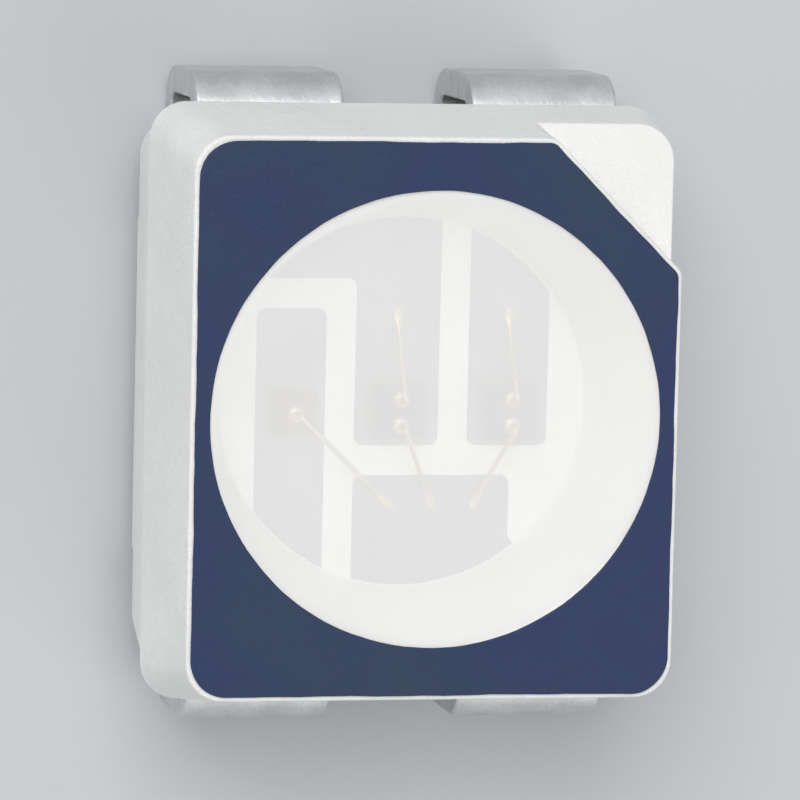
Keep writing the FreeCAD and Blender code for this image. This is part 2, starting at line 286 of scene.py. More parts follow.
# Mesh tools, in millimetres

def new_piece(mesh, name):
    """Object from a bmesh, with its faces turned outwards."""
    bmesh.ops.recalc_face_normals(mesh, faces=mesh.faces)
    data = bpy.data.meshes.new(name)
    mesh.to_mesh(data)
    mesh.free()
    piece = bpy.data.objects.new(name, data)
    bpy.context.scene.collection.objects.link(piece)
    return piece


def turned(name, columns, closed=False):
    """Piece whose surface runs through one profile for each direction round the Z axis.

    A column is a direction and its points, each a radius and a height. Points on the axis are shared.
    """
    mesh = bmesh.new()
    poles = {}
    grid = []
    for turn, profile in columns:
        column = []
        for index, (radius, z) in enumerate(profile):
            if radius < ON_AXIS and index not in poles:
                poles[index] = mesh.verts.new((0, 0, z))
            if radius < ON_AXIS:
                column.append(poles[index])
            else:
                column.append(mesh.verts.new((radius * math.cos(turn), radius * math.sin(turn), z)))
        grid.append(column)
    rows = len(grid[0])
    for column, following in zip(grid, grid[1:] + grid[:1]):
        for row in range(rows if closed else rows - 1):
            above = (row + 1) % rows
            corners = [column[row], following[row], following[above], column[above]]
            mesh.faces.new(list(dict.fromkeys(corners)))
    return new_piece(mesh, name)


def skinned(name, rings):
    """Piece whose surface runs through closed rings of points, with a flat face at each end."""
    mesh = bmesh.new()
    loops = [[mesh.verts.new(place) for place in ring] for ring in rings]
    count = len(loops[0])
    for loop, following in zip(loops, loops[1:]):
        for i in range(count):
            j = (i + 1) % count
            mesh.faces.new([loop[i], loop[j], following[j], following[i]])
    mesh.faces.new(loops[0])
    mesh.faces.new(loops[-1])
    return new_piece(mesh, name)


def blocks(name, boxes):
    """Piece of several plain boxes, each given by its lowest and highest corner."""
    mesh = bmesh.new()
    for low, high in boxes:
        middle = (Vector(low) + Vector(high)) / 2
        extent = Vector(high) - Vector(low)
        shape = Matrix.Translation(middle) @ Matrix.Diagonal((*extent, 1))
        bmesh.ops.create_cube(mesh, size=1.0, matrix=shape)
    return new_piece(mesh, name)


def bake(piece):
    """Makes the piece's modifiers part of its mesh."""
    graph = bpy.context.evaluated_depsgraph_get()
    made = bpy.data.meshes.new_from_object(piece.evaluated_get(graph))
    piece.modifiers.clear()
    plain = piece.data
    piece.data = made
    bpy.data.meshes.remove(plain)


def combine(piece, tool, operation):
    """Joins a tool to the piece, or cuts it away, clears slivers and deletes the tool."""
    step = piece.modifiers.new("step", "BOOLEAN")
    step.operation = operation
    step.solver = "EXACT"
    step.object = tool
    bake(piece)
    bpy.data.objects.remove(tool)
    mesh = bmesh.new()
    mesh.from_mesh(piece.data)
    bmesh.ops.remove_doubles(mesh, verts=mesh.verts, dist=SLIVER)
    bmesh.ops.dissolve_degenerate(mesh, edges=mesh.edges, dist=SLIVER)
    mesh.to_mesh(piece.data)
    mesh.free()


def joined(name, pieces):
    """One object of several that don't touch."""
    mesh = bmesh.new()
    for piece in pieces:
        mesh.from_mesh(piece.data)
        bpy.data.objects.remove(piece)
    return new_piece(mesh, name)


def toward(corner, other, setback):
    """Point near a corner on the way to another, at most half of the way."""
    way = other - corner
    if way.length < ON_AXIS:
        return corner.copy()
    return corner + way * min(setback / way.length, SIDE_SHARE)


def eased(points, setbacks, steps=ROUND_STEPS):
    """Open line with each inner corner rounded, starting that far back from it."""
    points = [Vector(point) for point in points]
    line = [points[0]]
    for before, corner, after, setback in zip(points, points[1:], points[2:], setbacks):
        start = toward(corner, before, setback)
        end = toward(corner, after, setback)
        for step in range(steps + 1):
            share = step / steps
            line.append(start.lerp(corner, share).lerp(corner.lerp(end, share), share))
    line.append(points[-1])
    return line


def rounded_outline(points, radius):
    """Closed outline with a round corner at each point."""
    points = [Vector(point) for point in points]
    outline = []
    for index, corner in enumerate(points):
        before = points[index - 1] - corner
        after = points[(index + 1) % len(points)] - corner
        half_angle = before.angle(after) / 2
        setback = min(radius / math.tan(half_angle), SIDE_SHARE * min(before.length, after.length))
        bend = setback * math.tan(half_angle)
        inward = (before.normalized() + after.normalized()).normalized()
        centre = corner + inward * (bend / math.sin(half_angle))
        start = corner + before.normalized() * setback - centre
        swing = (corner + after.normalized() * setback - centre).angle_signed(start)
        for step in range(ROUND_STEPS + 1):
            outline.append(centre + Matrix.Rotation(swing * step / ROUND_STEPS, 2) @ start)
    return outline


def inset(outline, distance):
    """Closed outline, run anticlockwise, drawn in by a distance."""
    moved = []
    for index, place in enumerate(outline):
        way = outline[(index + 1) % len(outline)] - outline[index - 1]
        moved.append(place + Vector((-way.y, way.x)).normalized() * distance)
    return moved


def quarter_round(radius):
    """Steps over a rounded edge: how far each is drawn in, and how far it lies below."""
    angles = [math.pi / 2 * step / (ROUND_STEPS - 1) for step in range(ROUND_STEPS)]
    return [(radius * (1 - math.cos(angle)), radius * (1 - math.sin(angle))) for angle in angles]


def circle(radius, z, centre):
    """Ring of points at one height."""
    turns = [2 * math.pi * i / CONTACT_SIDES for i in range(CONTACT_SIDES)]
    return [Vector((centre[0] + radius * math.cos(t), centre[1] + radius * math.sin(t), z)) for t in turns]


# Finishes, as node trees

def feed(tree, socket, value):
    """Links a socket to another one, or sets its value."""
    if isinstance(value, bpy.types.NodeSocket):
        tree.links.new(value, socket)
    else:
        socket.default_value = value


def add_node(tree, kind, inputs, **choices):
    """A node with its choices made and its inputs fed."""
    node = tree.nodes.new(kind)
    for name, value in choices.items():
        setattr(node, name, value)
    for name, value in inputs.items():
        feed(tree, node.inputs[name], value)
    return node


class Finish:
    """A material under construction, with the object's own coordinates in millimetres."""

    def __init__(self, name):
        self.material = bpy.data.materials.new(name)
        self.material.use_nodes = True
        self.tree = self.material.node_tree
        self.shader = self.tree.nodes["Principled BSDF"]
        local = self.tree.nodes.new("ShaderNodeTexCoord").outputs["Object"]
        self.place = self.add("ShaderNodeVectorMath", {0: local, "Scale": 1 / MM},
                              operation="SCALE").outputs[0]

    def add(self, kind, inputs, **choices):
        return add_node(self.tree, kind, inputs, **choices)

    def stretched(self, across, along, up):
        """The coordinates, drawn out along the axes."""
        return self.add("ShaderNodeVectorMath", {0: self.place, 1: (across, along, up)},
                        operation="MULTIPLY").outputs[0]

    def height(self):
        """Height over the board in millimetres."""
        return self.add("ShaderNodeSeparateXYZ", {0: self.place}).outputs["Z"]

    def noise(self, scale, detail=2.0, place=None):
        return self.add("ShaderNodeTexNoise", {"Vector": place or self.place, "Scale": scale,
                                               "Detail": detail}).outputs["Fac"]

    def cells(self, scale):
        return self.add("ShaderNodeTexVoronoi", {"Vector": self.place, "Scale": scale}).outputs["Distance"]

    def ranged(self, value, least, most, low=0.3, high=0.7):
        """A value between a low and a high mark, drawn out to a range."""
        return self.add("ShaderNodeMapRange", {"Value": value, "From Min": low, "From Max": high,
                                               "To Min": least, "To Max": most}).outputs[0]

    def mixed(self, share, first, second):
        """A colour between two, each a colour or a socket."""
        return self.add("ShaderNodeMix", {0: share, 6: first, 7: second}, data_type="RGBA").outputs[2]

    def bumped(self, height, depth, normal=None):
        """A normal with relief of that depth in millimetres over another."""
        inputs = {"Height": height, "Distance": depth * MM, "Strength": 1.0}
        if normal is not None:
            inputs["Normal"] = normal
        return self.add("ShaderNodeBump", inputs).outputs[0]

    def set(self, **inputs):
        """Sets or links inputs of the shader, named with underscores for spaces."""
        for name, value in inputs.items():
            feed(self.tree, self.shader.inputs[name.replace("_", " ")], value)


def shade(colour, factor):
    """A property's colour, lighter or darker, as four numbers."""
    return (*[min(1.0, channel * factor) for channel in colour], 1.0)


def moulding_finish(finish, colours):
    """White filled plastic: fine mould grain, faint flow clouds and a few dark specks."""
    cloud = finish.ranged(finish.noise(1.4, 3.0), 0.0, 1.0, 0.35, 0.65)
    body = finish.mixed(cloud, shade(colours.moulding, 0.965), shade(colours.moulding, 1.02))
    speck = finish.ranged(finish.cells(7.0), 1.0, 0.0, 0.02, 0.045)
    grain = finish.noise(70.0)
    specked = finish.mixed(finish.ranged(speck, 0.0, 0.25, 0.0, 1.0), body, shade(colours.moulding, 0.7))
    finish.set(Base_Color=specked,
               Roughness=finish.ranged(grain, 0.46, 0.64),
               Specular_IOR_Level=0.45,
               Normal=finish.bumped(grain, 0.006, finish.bumped(finish.noise(11.0, 1.0), 0.007)))


def ink_finish(finish, colours):
    """Dark pad-printed ink: satin, a little mottled, with fine pits and dust."""
    mottle = finish.ranged(finish.noise(0.9, 4.0), 0.0, 1.0, 0.35, 0.65)
    violet = (colours.ink[0], colours.ink[1] * 0.82, colours.ink[2] * 1.06, 1.0)
    slate = (colours.ink[0] * 1.2, colours.ink[1] * 1.08, colours.ink[2] * 0.85, 1.0)
    film = finish.mixed(mottle, violet, slate)
    dust = finish.ranged(finish.cells(11.0), 0.3, 0.0, 0.015, 0.05)
    grain = finish.noise(38.0, 3.0)
    finish.set(Base_Color=finish.mixed(dust, film, (0.16, 0.18, 0.22, 1.0)),
               Roughness=finish.ranged(grain, 0.34, 0.52),
               Specular_IOR_Level=0.22,
               Normal=finish.bumped(grain, 0.004, finish.bumped(finish.noise(7.0, 1.0), 0.005)))


def resin_finish(finish, colours):
    """Milky silicone: cloudy with filler, glossy on top, and the pads show through it faintly."""
    cloud = finish.ranged(finish.noise(2.2, 4.0), 0.0, 1.0)
    finish.set(Base_Color=finish.mixed(cloud, shade(colours.resin, 0.985), shade(colours.resin, 1.01)),
               Roughness=finish.ranged(finish.noise(14.0), 0.06, 0.11),
               IOR=1.45,
               Alpha=0.76,
               Normal=finish.bumped(finish.noise(3.0, 1.0), 0.004))


def plating_finish(finish, colours):
    """Plated rolled copper: satin, lined along the strip, with small stains, and the pads in the cup
    painted darker as shade under the resin.
    """
    rolled = finish.noise(1.0, 3.0, finish.stretched(70.0, 4.0, 70.0))
    stain = finish.ranged(finish.noise(6.0, 3.0), 0.0, 0.2, 0.35, 0.65)
    # Painted shade: the tops of the pads in the cup are painted darker than the plating outside.
    in_pad_shade = finish.ranged(finish.height(), 0.0, 1.0, RESIN_LOW.z - 0.008, RESIN_LOW.z - 0.002)
    metal = finish.mixed(in_pad_shade, shade(colours.plating, 1.05), shade(colours.pad_shade_and_stain, 1.05))
    stained = finish.mixed(stain, metal, shade(colours.pad_shade_and_stain, 0.9))
    line = finish.ranged(rolled, 0.0, 0.15, 0.35, 0.65)
    finish.set(Metallic=1.0, Base_Color=finish.mixed(line, stained, shade(colours.pad_shade_and_stain, 0.8)),
               Roughness=finish.ranged(rolled, 0.28, 0.44),
               Normal=finish.bumped(rolled, 0.0013, finish.bumped(finish.noise(18.0), 0.0015)))


def gold_finish(finish, colours):
    """Drawn gold, faintly lined and stained."""
    grain = finish.noise(120.0)
    drawn = finish.mixed(grain, shade(colours.gold, 0.9), shade(colours.gold, 1.08))
    finish.set(Metallic=1.0, Base_Color=drawn,
               Roughness=finish.ranged(grain, 0.34, 0.5),
               Normal=finish.bumped(grain, 0.0004))


def crystal_finish(finish, colour):
    """Die: polished top that shines little inside resin, sawn sides and a faint cloud in the colour."""
    sawn = finish.noise(1.0, 2.0, finish.stretched(12.0, 12.0, 260.0))
    cloud = finish.ranged(finish.noise(16.0, 3.0), 0.0, 1.0)
    finish.set(Base_Color=finish.mixed(cloud, shade(colour, 0.75), shade(colour, 1.4)),
               Roughness=finish.ranged(sawn, 0.14, 0.36),
               IOR=1.22,
               Normal=finish.bumped(sawn, 0.0006))


def silver_paste_finish(finish, colours):
    """Silver-filled glue: flakes of metal in a dull binder."""
    flake = finish.cells(90.0)
    filled = finish.mixed(finish.ranged(flake, 0.0, 1.0, 0.1, 0.6), shade(colours.silver_paste, 1.35),
                          shade(colours.silver_paste, 0.75))
    finish.set(Metallic=0.6, Base_Color=filled,
               Roughness=finish.ranged(flake, 0.32, 0.6, 0.1, 0.6),
               Normal=finish.bumped(flake, 0.002))


def clear_glue_finish(finish, colours):
    """Clear glue with a faint tint and small bubbles."""
    bubble = finish.ranged(finish.cells(40.0), 1.0, 0.0, 0.05, 0.2)
    body = finish.mixed(bubble, shade(colours.clear_glue, 1.0), shade(colours.clear_glue, 1.2))
    finish.set(Base_Color=body,
               Roughness=finish.ranged(finish.noise(20.0), 0.12, 0.26),
               Normal=finish.bumped(bubble, 0.002))


FINISHES = {
    "white_moulding": moulding_finish,
    "dark_print": ink_finish,
    "milky_resin": resin_finish,
    "plated_copper": plating_finish,
    "gold": gold_finish,
    "red_crystal": lambda finish, colours: crystal_finish(finish, colours.red_crystal),
    "sapphire": lambda finish, colours: crystal_finish(finish, colours.sapphire),
    "silver_epoxy": silver_paste_finish,
    "clear_epoxy": clear_glue_finish,
}


def finish_of(slot):
    """The slot's finish, made when it is first asked for."""
    name = "finished_" + slot
    if name not in bpy.data.materials:
        FINISHES[slot](Finish(name), bpy.context.scene.led_colours)
    return bpy.data.materials[name]


def put(piece, node, slot):
    """Smooths a piece, turns it to metres, gives it its finish and lets it stand for its node."""
    piece.data.shade_smooth()
    piece.data.set_sharp_from_angle(angle=SHARP)
    weighted = piece.modifiers.new("weighted", "WEIGHTED_NORMAL")
    weighted.keep_sharp = True
    bake(piece)
    piece.data.transform(Matrix.Scale(MM, 4))
    piece.data.materials.append(finish_of(slot))
    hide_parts(node)
    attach(piece, BODY)
    return piece


# Housing

def soft_least(first, second, blend):
    """The smaller of two values, with a soft change from one to the other."""
    near = max(blend - abs(first - second), 0.0) / blend
    return min(first, second) - near * near * blend / 4


def reach(turn, half_x, half_y, radius):
    """Distance from the axis to a rounded rectangle in one direction."""
    across = abs(math.cos(turn))
    along = abs(math.sin(turn))
    distance = min(half_x / max(across, ON_AXIS), half_y / max(along, ON_AXIS))
    core_x = half_x - radius
    core_y = half_y - radius
    if distance * across > core_x and distance * along > core_y:
        shadow = across * core_x + along * core_y
        distance = shadow + math.sqrt(shadow ** 2 - core_x ** 2 - core_y ** 2 + radius ** 2)
    return distance


def notched(turn, distance, offset, blend):
    """The distance, cut short by the notch's face, which lies that far from the axis."""
    facing = math.cos(turn - NOTCH_SIDE)
    if facing <= LEAST_FACING:
        return distance
    return soft_least(distance, offset / facing, blend)


def face_columns(half_x, half_y, profile, s, w):
    """Sections all round the axis, close together at the housing's corners and across the notch."""
    diagonal = math.atan2(half_y, half_x)
    corners = [diagonal + math.pi, -diagonal, math.pi - diagonal, *NOTCH_TURNS]
    columns = []
    turn = 0.0
    while turn < 2 * math.pi - FINE_TURN / 2:
        columns.append((turn, profile(turn, s, w)))
        near = min(abs(math.remainder(turn - corner, 2 * math.pi)) for corner in corners)
        turn += FINE_TURN if near < CORNER_SPREAD else COARSE_TURN
    return columns


def step_ends(below, above, z, soft):
    """Two corners of a level step between two walls, which part upright where the step dies out."""
    spread = soft * max(1 - abs(above(z) - below(z)) / soft, 0.0)
    return [(below(z - spread), z - spread), (above(z + spread), z + spread)]


def housing_profile(turn, s, w):
    """Section of the housing in one direction, from the underside's middle to the cup's."""

    def lower(z):
        share = (s.parting - z) / (s.parting - s.base)
        return reach(turn, s.width / 2 - s.lower_inset_x * share,
                     s.lower_length / 2 - s.lower_inset_y * share, s.corner)

    def upper(z):
        share = (z - s.parting) / (s.top - s.parting)
        return reach(turn, s.width / 2 - s.upper_inset_x * share,
                     s.length / 2 - s.upper_inset_y * share, s.corner)

    def cut(z):
        share = (z - s.ledge) / (s.top - s.ledge)
        return notched(turn, upper(z), s.notch_offset - s.notch_draft * share, s.notch_edge)

    recess = s.base + s.gate_depth
    points = [(0, recess - s.stub_height), (s.stub_radius, recess - s.stub_height),
              (s.stub_radius, recess), (s.gate_radius, recess), (s.gate_radius, s.base),
              (lower(s.base), s.base)]
    points += step_ends(lower, upper, s.parting, s.edge)
    points += step_ends(upper, cut, s.ledge, s.edge)
    points += [(cut(s.top), s.top), (w.mouth, s.top), (w.floor, s.parting), (0, s.parting)]
    return eased(points, [s.edge / 2] * 4 + [s.edge] * 5 + [s.rim, s.edge / 2, s.edge])


def foot_steps(s):
    """Tool that clears the four feet under the housing's corners."""
    far = s.width + s.length
    boxes = []
    for side in (-1, 1):
        for end in (-1, 1):
            x = sorted((side * s.foot_step_x, side * far))
            y = sorted((end * s.foot_step_y, end * far))
            boxes.append(((x[0], y[0], -far), (x[1], y[1], s.foot_step_z)))
    return blocks("foot_steps", boxes)


# Print and resin

def waver(turn, amount, phase):
    """Small wandering of an inked edge."""
    return amount * (math.sin(9 * turn + phase) + 0.7 * math.sin(23 * turn + 2 * phase)
                     + 0.5 * math.sin(51 * turn + 3 * phase)) / 2.2


def print_profile(turn, s, w):
    """Section of the print in one direction, as a closed loop."""
    outer = reach(turn, w.print_half_x, w.print_half_y, w.print_corner)
    outer = notched(turn, outer, s.notch_offset - s.notch_draft - s.rim, s.notch_edge)
    outer -= w.print_waver + waver(turn, w.print_waver, 0.4)
    inner = w.mouth + waver(turn, w.print_waver / 2, 2.1)
    points = [(inner, s.top), (outer, s.top), (outer, w.print_top), (inner, w.print_top), (inner, s.top)]
    return eased(points, [w.print_edge / 4, w.print_edge, w.print_edge])[:-1]


def resin_profile(s, w):
    """Section of the resin: it fills the cup, and its surface sags and climbs a little at the rim."""
    edge = w.mouth + w.seat
    points = [(0.0, s.parting - w.seat), (w.floor + w.seat, s.parting - w.seat), (edge, s.top - w.seat / 2)]
    lip = w.sag * LIP_SHARE
    for ring in range(WINDOW_RINGS, -1, -1):
        share = math.sin(math.pi / 2 * ring / WINDOW_RINGS)
        dish = w.sag * (1 - share ** 2)
        climb = lip * math.exp(-w.mouth * (1 - share) / w.creep)
        points.append((w.mouth * share, s.top - dish - lip + climb))
    return points


# Leads

def lead_outlines(s):
    """The four pads, each as corners seen from above, anticlockwise."""
    exit_y = s.reach - s.thickness - s.bend
    neck_inner = s.place - s.width / 2 + s.pad_edge
    neck_outer = s.place + s.width / 2 - s.pad_edge
    neck_end = exit_y - s.anchor * 3 / 4
    left = s.middle_left - s.gap
    right = s.middle_right + s.gap
    common_top = s.upper_end - s.gap
    arm = s.left_end + s.gap
    return {
        "green_cathode": [(-neck_outer, arm), (s.middle_left, arm), (s.middle_left, s.upper_end),
                          (s.middle_right, s.upper_end), (s.middle_right, s.plate_end),
                          (-neck_inner, s.plate_end), (-neck_inner, neck_end), (-neck_outer, neck_end)],
        "blue_cathode": [(right, s.upper_end), (s.outer, s.upper_end), (s.outer, s.shoulder),
                         (neck_outer, s.plate_end), (neck_outer, neck_end), (right, neck_end)],
        "red_cathode": [(left, s.left_end), (-s.outer, s.left_end), (-s.outer, -s.shoulder),
                        (-neck_outer, -s.plate_end), (-neck_outer, -neck_end), (left, -neck_end)],
        "common_anode": [(s.middle_left, common_top), (s.middle_left, -s.plate_end),
                         (neck_inner, -s.plate_end), (neck_inner, -neck_end), (neck_outer, -neck_end),
                         (neck_outer, -s.plate_end), (s.common_right, -s.shoulder),
                         (s.common_right, common_top)],
    }


# The side and the end of the housing at which each lead comes out
LEAD_SIDES = {
    "green_cathode": (-1, 1),
    "blue_cathode": (1, 1),
    "red_cathode": (-1, -1),
    "common_anode": (1, -1),
}


def plate(name, corners, s, top, soft):
    """Pad and neck of a lead: a plate with round corners and an upper edge of that radius."""
    outline = rounded_outline(corners, s.pad_corner)
    levels = [(0.0, top - s.thickness)]
    levels += [(drawn, top - below) for drawn, below in quarter_round(soft)]
    rings = [[(place.x, place.y, z) for place in inset(outline, drawn)] for drawn, z in levels]
    return skinned(name, rings)


def fold_stations(s, top):
    """Middle line of a folded strip along Y and Z: places, directions of its outer face, and insets."""
    exit_y = s.reach - s.thickness - s.bend
    middle = s.bend + s.thickness / 2
    high = Vector((exit_y, top - s.bend - s.thickness))
    low = Vector((exit_y, s.bend + s.thickness))
    stations = [(Vector((exit_y - s.anchor, top - s.thickness / 2)), Vector((0, 1)), 0.0)]
    for centre, first in ((high, 90), (low, 0)):
        for step in range(BEND_STEPS + 1):
            angle = math.radians(first - 90 * step / BEND_STEPS)
            out = Vector((math.cos(angle), math.sin(angle)))
            stations.append((centre + out * middle, out, 0.0))
    tip = s.reach - s.foot
    for drawn, back in quarter_round(s.edge):
        stations.append((Vector((tip + back, s.thickness / 2)), Vector((0, -1)), drawn))
    return stations


def strip(name, s, top, side, end):
    """Strip of a lead, folded down the end face and under the housing."""
    signs = ((-1, -1), (1, -1), (1, 1), (-1, 1))
    section = rounded_outline([(x * s.width / 2, z * s.thickness / 2) for x, z in signs], s.edge)
    rings = []
    for place, out, drawn in fold_stations(s, top):
        ring = []
        for across, over in inset(section, drawn):
            spot = place + out * over
            ring.append((side * s.place + across, end * spot.x, spot.y))
        rings.append(ring)
    return skinned(name, rings)


def locks(s, top, side, end):
    """Tool that cuts the two notches which lock a strip in the plastic."""
    middle = s.reach - s.thickness - s.bend - s.anchor / 2
    y = sorted((end * (middle - s.lock_length / 2), end * (middle + s.lock_length / 2)))
    boxes = []
    for edge in (-s.width / 2, s.width / 2):
        x = side * s.place + edge
        boxes.append(((x - s.lock_depth, y[0], top - 2 * s.thickness), (x + s.lock_depth, y[1], 2 * top)))
    return blocks("locks", boxes)


def lead_shape(name, s, top):
    """One lead: its plate, its folded strip and the notches that lock it."""
    side, end = LEAD_SIDES[name]
    lead = plate("plated_lead_" + name, lead_outlines(s)[name], s, top, s.pad_edge)
    combine(lead, strip("strip", s, top, side, end), "UNION")
    combine(lead, locks(s, top, side, end), "DIFFERENCE")
    return lead


def cut_for_leads(piece, s, top, clearance):
    """Makes room in the housing for the plates, up to just over their tops, and for the strips."""
    plates = [plate(name, corners, s, top + clearance, clearance / 2)
              for name, corners in lead_outlines(s).items()]
    combine(piece, joined("plates", plates), "DIFFERENCE")
    strips = [strip(name, s, top, side, end) for name, (side, end) in LEAD_SIDES.items()]
    combine(piece, joined("strips", strips), "DIFFERENCE")


# Dies, glue, contacts and wires

def square_ring(low, high, drawn, radius, z):
    """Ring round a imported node's sides, drawn in by a distance."""
    left, near, right, far = low.x + drawn, low.y + drawn, high.x - drawn, high.y - drawn
    corners = [(left, near), (right, near), (right, far), (left, far)]
    return [(place.x, place.y, z) for place in rounded_outline(corners, radius)]


def die_shape(colour, s):
    """Sawn die with a mesa, a little smaller, on top."""
    low, high = node_box("die_" + colour)
    soft = s.edge
    step = high.z - s.mesa_step
    levels = [(soft, low.z), (0, low.z + soft), (0, step - soft), (soft / 3, step - soft / 3), (soft, step),
              (s.mesa_inset, step), (s.mesa_inset, high.z - soft),
              (s.mesa_inset + soft / 3, high.z - soft / 3), (s.mesa_inset + soft, high.z)]
    rings = [square_ring(low, high, drawn, 2 * soft, z) for drawn, z in levels]
    return skinned("sawn_die_" + colour, rings)


def glue_shape(colour):
    """Bed of glue under a die, with a hollow fillet that climbs its foot."""
    low, high = node_box("die_glue_" + colour)
    spread = node_box("die_" + colour)[0].x - low.x
    rings = []
    for step in range(FILLET_STEPS + 1):
        angle = math.pi / 2 * step / FILLET_STEPS
        drawn = spread * math.sin(angle) * FILLET_SHARE
        z = low.z + (high.z - low.z) * (1 - math.cos(angle))
        rings.append(square_ring(low, high, drawn, max(2 * (spread - drawn), LEAST_CORNER), z))
    return skinned("cured_die_glue_" + colour, rings)


def contact_shape(name):
    """Round metal contact on a die, with a soft upper edge."""
    low, high = node_box(name)
    radius = (high.y - low.y) / 2
    soft = (high.z - low.z) * CONTACT_SHARE
    levels = [(radius, low.z), (radius, high.z - soft), (radius - soft * 0.3, high.z - soft * 0.3),
              (radius - soft, high.z)]
    rings = [circle(r, z, node_middle(name)) for r, z in levels]
    return skinned("plated_" + name, rings)


def wire_ring(place, along, across, half_width, half_height):
    """Oval ring round a wire. The given directions run along it and level across it."""
    over = along.cross(across).normalized()
    turns = [2 * math.pi * (i + 0.5) / WIRE_SIDES for i in range(WIRE_SIDES)]
    return [place + across * half_width * math.cos(t) + over * half_height * math.sin(t) for t in turns]


def wire_shape(name, contact, end_x, end_y, floor, s):
    """Gold wire: a squashed ball on its contact, a loop, and a flattened stitch on the leadframe."""
    foot = Vector((*node_middle(contact), node_box(contact)[1].z))
    level = Vector((end_x - foot.x, end_y - foot.y, 0))
    run = level.length
    level.normalize()
    across = Vector((-level.y, level.x, 0))
    up = Vector((0, 0, 1))
    ball = [(s.ball_radius, 0.0), (s.ball_radius + s.ball_bulge * 0.8, 0.22),
            (s.ball_radius + s.ball_bulge, 0.5), (s.ball_radius + s.ball_bulge * 0.7, 0.78),
            (s.ball_radius * BALL_TOP_SHARE, 1.0)]
    rings = [wire_ring(foot + up * s.ball_height * share, up, across, r, r) for r, share in ball]
    neck = s.ball_height + s.neck_height
    rings.append(wire_ring(foot + up * (s.ball_height + s.neck_height / 3), up, across,
                           s.wire_radius * 1.5, s.wire_radius * 1.5))
    half_thick = s.stitch_thickness / 2
    points = [(0, foot.z + neck), (0, foot.z + s.loop_rise),
              (run - s.landing_run, floor + s.landing_rise),
              (run - s.stitch_length / 2, floor + half_thick),
              (run + s.stitch_length / 2, floor + half_thick)]
    line = eased(points, WIRE_BENDS, LOOP_STEPS)
    for index, place in enumerate(line):
        before = line[max(index - 1, 0)]
        after = line[min(index + 1, len(line) - 1)]
        way = (after - before).normalized()
        flat = (place.x - run + s.stitch_length) / (TAIL_RUN_SHARE * s.stitch_length)
        flat = min(max(flat, 0.0), 1.0)
        half_width = s.wire_radius + (s.stitch_width / 2 - s.wire_radius) * flat
        half_height = s.wire_radius + (half_thick - s.wire_radius) * flat
        if index == len(line) - 1:
            half_width *= TAIL_END_SHARE
        spot = Vector((foot.x, foot.y, 0)) + level * place.x + up * place.y
        rings.append(wire_ring(spot, level * way.x + up * way.y, across, half_width, half_height))
    return skinned("gold_" + name, rings)


def wire_ends(chips):
    """Each wire's contact and the place where it lands."""
    first = chips.common_middle - chips.common_step
    ends = {}
    for index, colour in enumerate(DIES):
        ends[colour + "_anode"] = (first + index * chips.common_step, chips.common_row)
    for colour in ("green", "blue"):
        x, y = node_middle("bond_pad_" + colour + "_cathode")
        ends[colour + "_cathode"] = (x, y + chips.own_drop)
    return ends


# Operators

class LED_OT_housing(bpy.types.Operator):
    """Moulds the white housing round the leads"""
    bl_idname = "led.housing"
    bl_label = "Housing"

    def execute(self, context):
        s = sizes(context.scene.led_housing)
        w = sizes(context.scene.led_window)
        piece = turned("white_housing", face_columns(s.width / 2, s.length / 2, housing_profile, s, w))
        combine(piece, foot_steps(s), "DIFFERENCE")
        cut_for_leads(piece, sizes(context.scene.led_leads), s.parting, s.clearance)
        put(piece, "housing", "white_moulding")
        return {"FINISHED"}


class LED_OT_print(bpy.types.Operator):
    """Prints the dark face round the window"""
    bl_idname = "led.print"
    bl_label = "Face print"

    def execute(self, context):
        s = sizes(context.scene.led_housing)
        w = sizes(context.scene.led_window)
        columns = face_columns(w.print_half_x, w.print_half_y, print_profile, s, w)
        put(turned("inked_face", columns, closed=True), "face_print", "dark_print")
        return {"FINISHED"}


class LED_OT_resin(bpy.types.Operator):
    """Casts the milky resin in the cup"""
    bl_idname = "led.resin"
    bl_label = "Window resin"

    def execute(self, context):
        profile = resin_profile(sizes(context.scene.led_housing), sizes(context.scene.led_window))
        columns = [(2 * math.pi * i / WINDOW_TURNS, profile) for i in range(WINDOW_TURNS)]
        window = put(turned("milky_window", columns), "window_resin", "milky_resin")
        # Milky resin passes the light on to the pads, so it casts no shadow on them.
        window.visible_shadow = False
        return {"FINISHED"}


class LED_OT_leads(bpy.types.Operator):
    """Cuts and folds the four leads"""
    bl_idname = "led.leads"
    bl_label = "Leads"

    def execute(self, context):
        s = sizes(context.scene.led_leads)
        top = sizes(context.scene.led_housing).parting
        for name in LEAD_SIDES:
            put(lead_shape(name, s, top), "lead_" + name, "plated_copper")
        return {"FINISHED"}


class LED_OT_dies(bpy.types.Operator):
    """Glues the three dies to their pads"""
    bl_idname = "led.dies"
    bl_label = "Dies and glue"

    def execute(self, context):
        chips = sizes(context.scene.led_chips)
        for colour, (crystal, glue) in DIES.items():
            put(die_shape(colour, chips), "die_" + colour, crystal)
            put(glue_shape(colour), "die_glue_" + colour, glue)
        return {"FINISHED"}


class LED_OT_wires(bpy.types.Operator):
    """Bonds the gold wires and their contacts"""
    bl_idname = "led.wires"
    bl_label = "Contacts and wires"

    def execute(self, context):
        chips = sizes(context.scene.led_chips)
        floor = sizes(context.scene.led_housing).parting
        for name, (x, y) in wire_ends(chips).items():
            contact = "bond_pad_" + name
            put(contact_shape(contact), contact, "gold")
            put(wire_shape("bond_wire_" + name, contact, x, y, floor, chips), "bond_wire_" + name, "gold")
        return {"FINISHED"}


def stage_finish(colour):
    """Pale matt floor with a faint unevenness."""
    finish = Finish("pale_floor")
    cloud = finish.ranged(finish.noise(0.25, 3.0), 0.0, 1.0)
    finish.set(Base_Color=finish.mixed(cloud, shade(colour, 0.985), shade(colour, 1.015)),
               Roughness=finish.ranged(cloud, 0.66, 0.74, 0.0, 1.0))
    return finish.material


